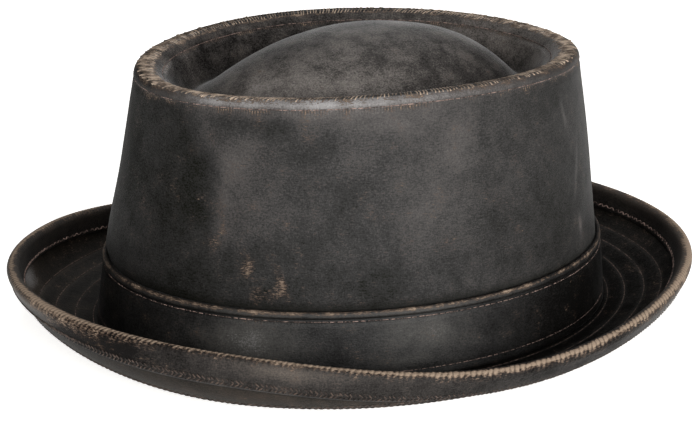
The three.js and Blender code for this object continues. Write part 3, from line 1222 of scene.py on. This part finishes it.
@dataclass
class Band:
    """The leather band at the foot of the crown, with its turned and sewn upper edge."""

    form: HatForm
    columns: int = 720
    top_stitches: float = 4.1
    foot_stitches: float = 3.0
    row_groove: Line = Line(0, 0.7, -0.3)
    fold_crease: Line = Line(0.4, 0.5, -0.25)
    swell: float = 0.22
    swell_size: float = 26.0
    fold_rub: Line = Line(0.4, 0.8, 0.6)
    foot_rub: Line = Line(0.4, 0.6, 0.1)
    fold_grime: Line = Line(0.5, 0.6, 0.85)
    foot_grime: Line = Line(0, 1.4, 0.5)
    row_gathers: Line = Line(0, 0.8, 0.3)
    fold_highlight: Line = Line(0.9, 1.2, 0.35)

    def build(self, material: bpy.types.Material) -> Face:
        """Makes the piece and dresses it.

        Args:
            material: The band's leather.

        Returns:
            The outer face, from the foot up.
        """
        form = self.form
        angle = directions(self.columns)
        flat_part = np.linspace(0, form.band_height - 7.5, 20)
        fold_part = np.linspace(form.band_height - 7.2, form.band_height, 26)
        rise = np.concatenate([flat_part, fold_part])[:, None]
        up = form.brim_top + rise
        from_top = form.band_height - rise
        from_row, from_foot_row = from_top - self.top_stitches, rise - self.foot_stitches

        # The turned edge is thicker and round at its top, and flush with the wall at the back left.
        fold = form.fold_swell * ramp(from_top, form.fold_height + 0.5, form.fold_height - 0.6)
        fold = fold * (1 - 0.95 * form.flush_at(angle))
        fold *= np.sqrt(np.clip(1 - (1 - np.clip(from_top / 0.9, 0, 1)) ** 2, 0, 1))
        relief = fold + self.fold_crease.over(from_top - form.fold_height)
        relief = relief + self.row_groove.over(from_row) + self.row_groove.over(from_foot_row)
        out = form.band_outer - form.lean_at(angle, up) + relief
        spots = form.place(angle, point(out, up))
        middle_part = ramp(rise, 3, 9) * ramp(from_top, 6, 11)
        out = out + self.swell * drift(spots, self.swell_size, 1.7) * middle_part
        outer_rows = form.place(angle, point(out, up))
        inner_up = form.brim_top + np.linspace(form.band_height, 0, 6)[:, None]
        inner_rows = form.place(angle, point(form.band_inner - form.lean_at(angle, inner_up), inner_up))
        flat = np.ones(self.columns)
        worn = (self.fold_rub.over(from_top) + self.foot_rub.over(rise)) * flat
        # Painted shade under the turned fold and along the band's foot.
        grime = (self.fold_grime.over(from_top - form.fold_height) + self.foot_grime.over(rise)) * flat
        pucker = (self.row_gathers.over(from_row) + self.row_gathers.over(from_foot_row)) * flat
        # A painted highlight along the fold's round top, and painted sheen and shade on the band.
        tone = 0.45 + self.fold_highlight.over(from_top) + marked(BAND_PAINTED_SHEEN_AND_SHADE, angle, rise)
        skin = Skin.of_sheet(outer_rows, inner_rows, worn=worn, grime=grime, pucker=pucker, tone=tone)
        dress(skin.make("band"), material, "band_leather", "hat_band")
        return Face(outer_rows, outside=-1)


@dataclass
class Roll:
    """The rolled sheet of the brim, which its leather and its binding share."""

    form: HatForm
    fine: int = 200

    def curve(self, angle: np.ndarray) -> np.ndarray:
        """The middle of the sheet from the band to the edge, in even steps along it."""
        form = self.form
        reach = form.crown_wall + form.brim_reach * form.round_value("reach", angle)
        edge = form.edge_height * form.round_value("edge", angle)
        belly = form.edge_height * form.round_value("belly", angle)
        wall = reach - form.brim_reach * form.round_value("lean", angle)
        start = point(form.seat_edge + 0 * angle, form.brim_wall / 2)
        second = point(form.seat_edge + (reach - form.seat_edge) * form.roll_start, belly)
        third = point(wall, belly + (edge - belly) * form.roll_fullness)
        end = point(reach, edge)
        t = np.linspace(0, 1, self.fine)[:, None, None]
        return (
            (1 - t) ** 3 * start + 3 * t * (1 - t) ** 2 * second + 3 * t**2 * (1 - t) * third + t**3 * end
        )

    def at(self, angle: np.ndarray, distance: np.ndarray) -> tuple[np.ndarray, np.ndarray]:
        """Places on the roll at distances from the band.

        Args:
            angle: Directions round the hat.
            distance: Rows by columns of millimetres along the sheet.

        Returns:
            The places and their outward directions, which look under the brim.
        """
        curve = self.curve(angle)
        reach = lengths_along(curve)
        spots = np.empty((*distance.shape, 2))
        for column in range(len(angle)):
            for axis in range(2):
                spots[:, column, axis] = np.interp(
                    distance[:, column], reach[:, column], curve[:, column, axis]
                )
        return spots, outward_of(spots)

    def length(self, angle: np.ndarray) -> np.ndarray:
        """Length of the sheet from the band to its edge."""
        return lengths_along(self.curve(angle))[-1]


@dataclass
class Brim:
    """The stitched leather brim, from under the crown out to its edge."""

    form: HatForm
    roll: Roll
    columns: int = 720
    rows: int = 66
    stitch_rows: tuple[float, ...] = (1.2, 8.2, 16.2, 23.6)
    row_groove: Line = Line(0, 0.7, -0.22)
    row_pillow: Line = Line(3.5, 2.2, 0.12)
    row_tone: Line = Line(0, 1.1, 0.4)
    band_grime: Line = Line(0, 2.5, 0.5)
    binding_grime: Line = Line(0.3, 0.7, 0.5)

    def build(self, material: bpy.types.Material) -> tuple[Face, Face]:
        """Makes the piece and dresses it.

        Args:
            material: The brim's leather.

        Returns:
            The upper and the lower face, from the band out.
        """
        form = self.form
        angle = directions(self.columns)
        length = self.roll.length(angle)
        distance = np.linspace(0, 1, self.rows)[:, None] * length
        spots, under = self.roll.at(angle, distance)
        seat = np.stack([point(np.full(self.columns, out), form.brim_wall / 2) for out in (0.0, 2.0)])
        down = np.broadcast_to([0.0, -1.0], seat.shape)
        relief = np.zeros(distance.shape)
        for row in self.stitch_rows:
            relief += self.row_groove.over(distance - row) + self.row_pillow.over(distance - row)
        relief *= ramp(distance, 0, 1.5)
        spaced = np.concatenate([seat, spots])
        looks = np.concatenate([down, under])
        reliefs = np.concatenate([np.zeros(seat.shape[:2]), relief])
        over = spaced - looks * (form.brim_wall / 2 + reliefs)[..., None]
        below = spaced + looks * (form.brim_wall / 2 + reliefs * 0.6)[..., None]
        below[..., 1] = np.maximum(below[..., 1], 0)
        over_rows = form.place(angle, over)
        below_rows = form.place(angle, below)
        flat = np.zeros(over_rows.shape[:2])
        back = np.concatenate([np.zeros(seat.shape[:2]), distance])
        worn = flat + 0.1 * ramp(back, 6, 20)
        from_binding = length - form.binding_width - back
        # Painted shade on the brim beside the band and beside the binding's edge.
        grime = flat + self.band_grime.over(back) + self.binding_grime.over(from_binding)
        rings = sum(self.row_tone.over(back - row) for row in self.stitch_rows)
        # The upper face takes painted shade and one painted highlight.
        over_face_painted_light = flat + 0.5 + rings + marked(BRIM_PAINTED_SHADE_AND_HIGHLIGHT, angle, back)
        # The lower face is painted paler all over than the upper one, as painted light, and darker under
        # the front, as painted shade.
        under_face_painted_light = flat + 0.75 + marked(UNDERBRIM_PAINTED_SHADE, angle, back)
        skin = Skin(
            rows=np.concatenate([over_rows, below_rows[::-1]]),
            worn=np.concatenate([worn, flat]),
            grime=np.concatenate([grime, grime[::-1]]),
            pucker=np.concatenate([flat, flat]),
            tone=np.concatenate([over_face_painted_light, under_face_painted_light[::-1]]),
        )
        dress(skin.make("brim_leather"), material, "brim_leather", "brim")
        return Face(over_rows[len(seat) :], outside=-1), Face(below_rows[len(seat) :])


@dataclass
class Binding:
    """The leather strip turned over the brim's edge, gathered and rubbed along the turn."""

    form: HatForm
    roll: Roll
    columns: int = 1576
    side_rows: int = 14
    turn_rows: int = 9
    stitch_inset: float = 1.3
    ridges: Line = Line(0, 3.4, 0.1)
    cut_edge: Line = Line(0, 0.5, -0.45)
    row_groove: Line = Line(0, 0.6, -0.25)
    nose_rub: Line = Line(-0.4, 0.9, 0.8)
    outside_rub: Line = Line(0.5, 2.4, 0.3)
    cut_grime: Line = Line(0, 0.6, 0.3)
    nose_gathers: Line = Line(0, 2.4, 0.7)

    def around_edge(self, angle: np.ndarray, distance: float, side: int, turn: int) -> np.ndarray:
        """Rows of the strip's face at a distance from the sheet's middle, from inside to outside."""
        form = self.form
        length = self.roll.length(angle)
        ways = np.linspace(1, 0, side)[:, None] * form.binding_width
        spots, under = self.roll.at(angle, length - ways)
        inside = spots - under * distance
        outside = spots + under * distance
        edge, look = spots[-1], under[-1]
        along = np.stack([-look[:, 1], look[:, 0]], axis=-1)
        bend = np.linspace(0, np.pi, turn)[1:-1, None, None]
        nose = edge + distance * (along * np.sin(bend) - look * np.cos(bend))
        return np.concatenate([inside, nose, outside[::-1]])

    def build(self, material: bpy.types.Material) -> tuple[Face, Face]:
        """Makes the piece and dresses it.

        Args:
            material: The binding's leather.

        Returns:
            The face inside the roll from its inner edge, and the face outside it from its lower edge.
        """
        form = self.form
        angle = directions(self.columns)
        inner = form.brim_wall / 2 + form.sewn_gap
        face = self.around_edge(angle, inner + form.binding_wall, self.side_rows, self.turn_rows)
        back = self.around_edge(angle, inner, 3, 4)
        looks = -outward_of(face)
        reach = lengths_along(face)
        middle = reach[-1] / 2
        from_nose = reach - middle
        end = np.minimum(reach, reach[-1] - reach)
        turn = angle / (2 * np.pi) * BINDING_HIDE.gathers
        wave = np.sin(2 * np.pi * turn + BINDING_HIDE.gather_slant * reach)

        # The gathers stand up as fine ridges along the turn, lower at the front.
        ridges = self.ridges.over(from_nose) * wave * (1 - 0.8 * dip(degrees_from(angle, -90), 66))
        lift = ridges + self.cut_edge.over(end) + self.row_groove.over(end - self.stitch_inset)
        lift = lift + marked(EDGE_SWELLS, angle, from_nose)
        face = face + looks * lift[..., None]
        face_rows = form.place(angle, face)
        back_rows = form.place(angle, back)
        worn = self.nose_rub.over(from_nose) + self.outside_rub.over(from_nose)
        worn = worn * (0.85 + marked(EDGE_WEAR, angle, from_nose)) + marked(EDGE_RUBS, angle, from_nose)
        # Painted shade inside the roll and along the strip's sunken cut edges.
        grime = 0.35 * ramp(-from_nose, 2.5, 4.5) + self.cut_grime.over(end)
        pucker = self.nose_gathers.over(from_nose)
        # Painted highlights and shade on the strip.
        tone = 0.38 + marked(EDGE_PAINTED_LIGHT, angle, from_nose)
        skin = Skin.of_sheet(face_rows, back_rows[::-1], worn=worn, grime=grime, pucker=pucker, tone=tone)
        dress(skin.make("binding"), material, "binding_leather", "brim_binding")
        count = self.side_rows
        return Face(face_rows[:count], outside=-1), Face(face_rows[::-1][:count])


@dataclass
class Stitching:
    """Every row of thread on the hat."""

    form: HatForm
    seam: bpy.types.Material
    brim_thread: bpy.types.Material
    braid: bpy.types.Material
    edge: bpy.types.Material

    def crown(self, wall: Face, top: Face, inset: float) -> None:
        """Sews the shoulder, the rim's inner face and the crest.

        Args:
            wall: The wall's outer face from the crest down.
            top: The tip's upper face from the crest in.
            inset: Distance of the rim's inner row from the crest.
        """
        form = self.form
        shoulder = math.hypot(form.shoulder_width, form.shoulder_drop) + 0.2
        row = StitchRow(pitch=2.6, length=2.1, thread=0.42, lift=0.1)
        dress(row.make("shoulder_stitches", [wall.line(shoulder)]), self.seam, "crown_leather")
        row = StitchRow(pitch=2.4, length=2.0, thread=0.42, lift=0.1)
        dress(row.make("rim_stitches", [top.line(inset)]), self.seam, "crown_leather")
        whip = WhipRow(pitch=1.3, thread=0.64, lift=0.12, uneven=0.15, steps=7, reach=2.6)
        dress(whip.make("crest_overcast", wall, top, 5), self.edge, "crown_leather")

    def band(self, face: Face, top: float, foot: float) -> None:
        """Sews the band's two rows, given by their distances from its top and its foot."""
        height = lengths_along(face.rows)[-1]
        row = StitchRow(pitch=2.7, length=2.1, thread=0.42, lift=0.1)
        lines = [face.line(height - top), face.line(foot)]
        dress(row.make("band_stitches", lines), self.seam, "band_leather")

    def brim(self, over: Face, under: Face, rows: tuple[float, ...]) -> None:
        """Sews the brim's rings, which show on both of its faces."""
        row = StitchRow(pitch=2.7, length=2.2, thread=0.4, lift=0.06)
        high = [over.line(d) for d in rows]
        dress(row.make("brim_stitches", high), self.brim_thread, "brim_leather")
        row = StitchRow(pitch=2.2, length=1.8, thread=0.55, lift=0.08)
        low = [under.line(d) for d in (*rows, rows[-1] + 1.8, rows[-1] + 3.6)]
        dress(row.make("underbrim_stitches", low), self.braid, "brim_leather")

    def binding(self, inside: Face, outside: Face, inset: float) -> None:
        """Sews the binding's edges, with one row inside the roll and a leaning pair outside."""
        row = StitchRow(
            pitch=1.7, length=1.5, thread=0.5, lift=0.14, spread=1.1, sew=Sew.CROSSED, uneven=0.2
        )
        dress(row.make("binding_inside_stitches", [inside.line(inset)]), self.seam, "binding_leather")
        for name, way, shift in (("low", 1, 0.0), ("high", -1, 1.5)):
            row = StitchRow(
                pitch=1.7, length=1.2, thread=0.55, lift=0.08, spread=1.1 * way, sew=Sew.SLANTED, uneven=0.2
            )
            piece = row.make(f"binding_{name}_stitches", [outside.line(inset + shift)])
            dress(piece, self.braid, "binding_leather")


# Studio


@dataclass(frozen=True)
class SoftBox:
    """A large soft light in metres, placed round the hat by its direction in degrees.

    It looks at a point above the middle of the floor, as high as aim.
    """

    name: str
    azimuth: float
    elevation: float
    distance: float
    width: float
    height: float
    power: float
    aim: float = 0.05

    def make(self) -> None:
        """Adds the light to the scene."""
        data = bpy.data.lights.new(self.name, "AREA")
        data.shape = "RECTANGLE"
        data.size, data.size_y = self.width, self.height
        data.energy = self.power
        light = bpy.data.objects.new(self.name, data)
        back = looking_back(self.azimuth, self.elevation)
        light.location = Vector((0, 0, self.aim)) + back * self.distance
        light.rotation_mode = "QUATERNION"
        light.rotation_quaternion = (-back).to_track_quat("-Z", "Y")
        bpy.context.scene.collection.objects.link(light)


def looking_back(azimuth: float, elevation: float) -> Vector:
    """Direction from the hat to a viewer at that azimuth and elevation, in degrees."""
    a, e = math.radians(azimuth), math.radians(elevation)
    return Vector((math.sin(a) * math.cos(e), -math.cos(a) * math.cos(e), math.sin(e)))


@dataclass(frozen=True)
class Studio:
    """The floor, the lights, the air and the camera."""

    azimuth: float = 60.640
    elevation: float = 18.080
    roll: float = -0.1186
    distance: float = 766.88
    lens: float = 99.632
    target: tuple[float, float, float] = (-0.981, -1.744, 36.351)
    floor_radius: float = 4.0
    floor_rings: int = 8
    floor_corners: int = 96
    floor_colour: str = "#f4f3f1"
    floor_glow: float = 0.9
    air: float = 0.01
    backdrop: float = 1.0
    lights: tuple[SoftBox, ...] = (
        SoftBox("front_box", 80.6, 16, 1.6, 1.9, 0.75, 34),
        SoftBox("front_top_box", 50, 45, 1.6, 1.0, 0.72, 4),
        SoftBox("back_box", 230, 55, 1.6, 1.2, 1.0, 9),
    )

    def build(self) -> None:
        """Makes the studio."""
        self.make_floor()
        for box in self.lights:
            box.make()
        self.make_air()
        bpy.context.scene.view_settings.view_transform = "Standard"
        self.make_camera()

    def make_air(self) -> None:
        """Makes the room: white paper to look at, which throws little light of its own."""
        world = bpy.data.worlds.new("studio_air")
        tree = empty_tree(world)
        seen = add(tree, "LightPath", {}, "Is Camera Ray")
        strength = add(tree, "MapRange", {"Value": seen, "To Min": self.air, "To Max": self.backdrop})
        background = add(tree, "Background", {"Color": linear("#ffffff"), "Strength": strength})
        add(tree, "OutputWorld", {"Surface": background})
        bpy.context.scene.world = world

    def make_floor(self) -> None:
        """Makes the pale floor, a wide round sheet of matt paper."""
        around = self.floor_corners
        turn = np.linspace(0, 2 * np.pi, around, endpoint=False)
        rings = np.geomspace(0.3, self.floor_radius, self.floor_rings)
        points = [(0.0, 0.0, 0.0)]
        for radius in rings:
            points += [(radius * math.cos(t), radius * math.sin(t), 0.0) for t in turn]
        faces = [(0, 1 + k, 1 + (k + 1) % around) for k in range(around)]
        for low in range(1, 1 + (len(rings) - 1) * around, around):
            for k in range(around):
                beside = (k + 1) % around
                faces.append((low + k, low + around + k, low + around + beside, low + beside))
        mesh = bpy.data.meshes.new("floor")
        mesh.from_pydata(points, [], faces)
        material = bpy.data.materials.new("matt_white_paper")
        tree = empty_tree(material)
        fibres = add(tree, "TexNoise", {"Scale": per_mm(2.0), "Detail": 2.0})
        rough = add(tree, "MapRange", {"Value": fibres, "To Min": 0.85, "To Max": 0.95})
        paper = linear(self.floor_colour)
        glow = {"Emission Color": paper, "Emission Strength": self.floor_glow}
        shader = add(tree, "BsdfPrincipled", {"Base Color": paper, "Roughness": rough, **glow})
        add(tree, "OutputMaterial", {"Surface": shader})
        mesh.materials.append(material)
        floor = bpy.data.objects.new("floor", mesh)
        bpy.context.scene.collection.objects.link(floor)

    def make_camera(self) -> None:
        """Puts the camera where the photograph was taken from."""
        data = bpy.data.cameras.new("camera")
        data.lens = self.lens
        data.sensor_width = 36
        data.clip_start, data.clip_end = 0.05, 20
        camera = bpy.data.objects.new("camera", data)
        back = looking_back(self.azimuth, self.elevation)
        camera.location = Vector(self.target) * MM + back * self.distance * MM
        camera.rotation_mode = "QUATERNION"
        turn = (-back).to_track_quat("-Z", "Y")
        camera.rotation_quaternion = turn @ Quaternion((0, 0, 1), math.radians(self.roll))
        bpy.context.scene.collection.objects.link(camera)
        bpy.context.scene.camera = camera


def main() -> None:
    """Builds the hat and its studio."""
    logging.basicConfig(level=logging.INFO, format="%(name)s %(message)s")
    low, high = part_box("crown_side")
    form = HatForm(middle_shift=(low.y + high.y) / 2 / MM)
    log.info("middle shift %.4f mm", form.middle_shift)
    wall = CrownWall(form).build(CROWN_HIDE.make())
    crown_top = CrownTop(form)
    top = crown_top.build(TIP_HIDE_PAINTED_LIGHTER.make())
    band = Band(form)
    band_face = band.build(BAND_HIDE.make())
    roll = Roll(form)
    brim = Brim(form, roll)
    over, under = brim.build(BRIM_HIDE.make())
    binding = Binding(form, roll)
    inside, outside = binding.build(BINDING_HIDE.make())
    threads = (thread.make() for thread in (SEAM_THREAD, BRIM_THREAD, BRAID_THREAD, EDGE_THREAD))
    sewing = Stitching(form, *threads)
    sewing.crown(wall, top, crown_top.stitch_inset)
    sewing.band(band_face, band.top_stitches, band.foot_stitches)
    sewing.brim(over, under, brim.stitch_rows)
    sewing.binding(inside, outside, binding.stitch_inset)
    Studio().build()


if __name__ == "__main__":
    main()
